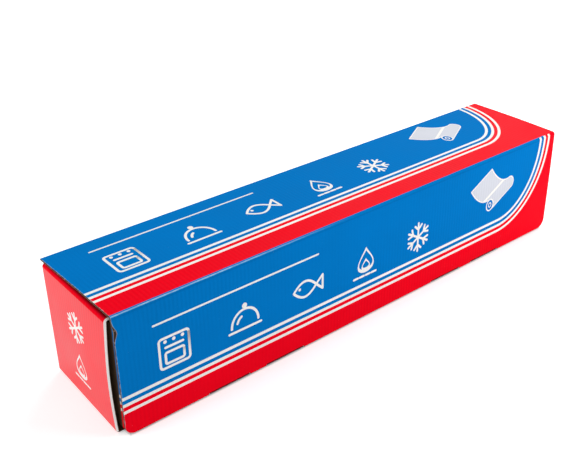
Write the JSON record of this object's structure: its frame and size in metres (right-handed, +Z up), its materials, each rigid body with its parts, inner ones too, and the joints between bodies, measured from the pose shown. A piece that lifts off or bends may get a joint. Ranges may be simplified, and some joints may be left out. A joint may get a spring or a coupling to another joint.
{
  "type": "foil roll dispensing carton",
  "caption": "Long corrugated dispensing carton with a hinged lid, a toothed cutter strip behind the lid's front flap, and a roll of aluminium foil on a paperboard core inside.",
  "frame": {"origin": "centre of the carton's footprint, on the surface that it stands on", "axes": "+X along the carton, the lid's front flap faces -Y, +Z up"},
  "size_m": [0.47, 0.097, 0.0975],
  "materials": {
    "printed_board": "printed and varnished corrugated board",
    "cutter_steel": "rolled",
    "foil": "bright rolled foil",
    "core_board": "uncoated grey-brown paperboard"
  },
  "bodies": {
    "carton": {"carton_body": "printed_board", "foil_roll": "foil", "core_tube": "core_board"},
    "lid": {"lid": "printed_board", "cutter_blade": "cutter_steel"}
  },
  "joints": [
    {"name": "lid_hinge", "type": "hinge", "parent": "carton", "child": "lid", "pos_m": [0, 0.04775, 0.09675], "axis": [-1, 0, 0], "range_deg": [0, 180]}
  ]
}
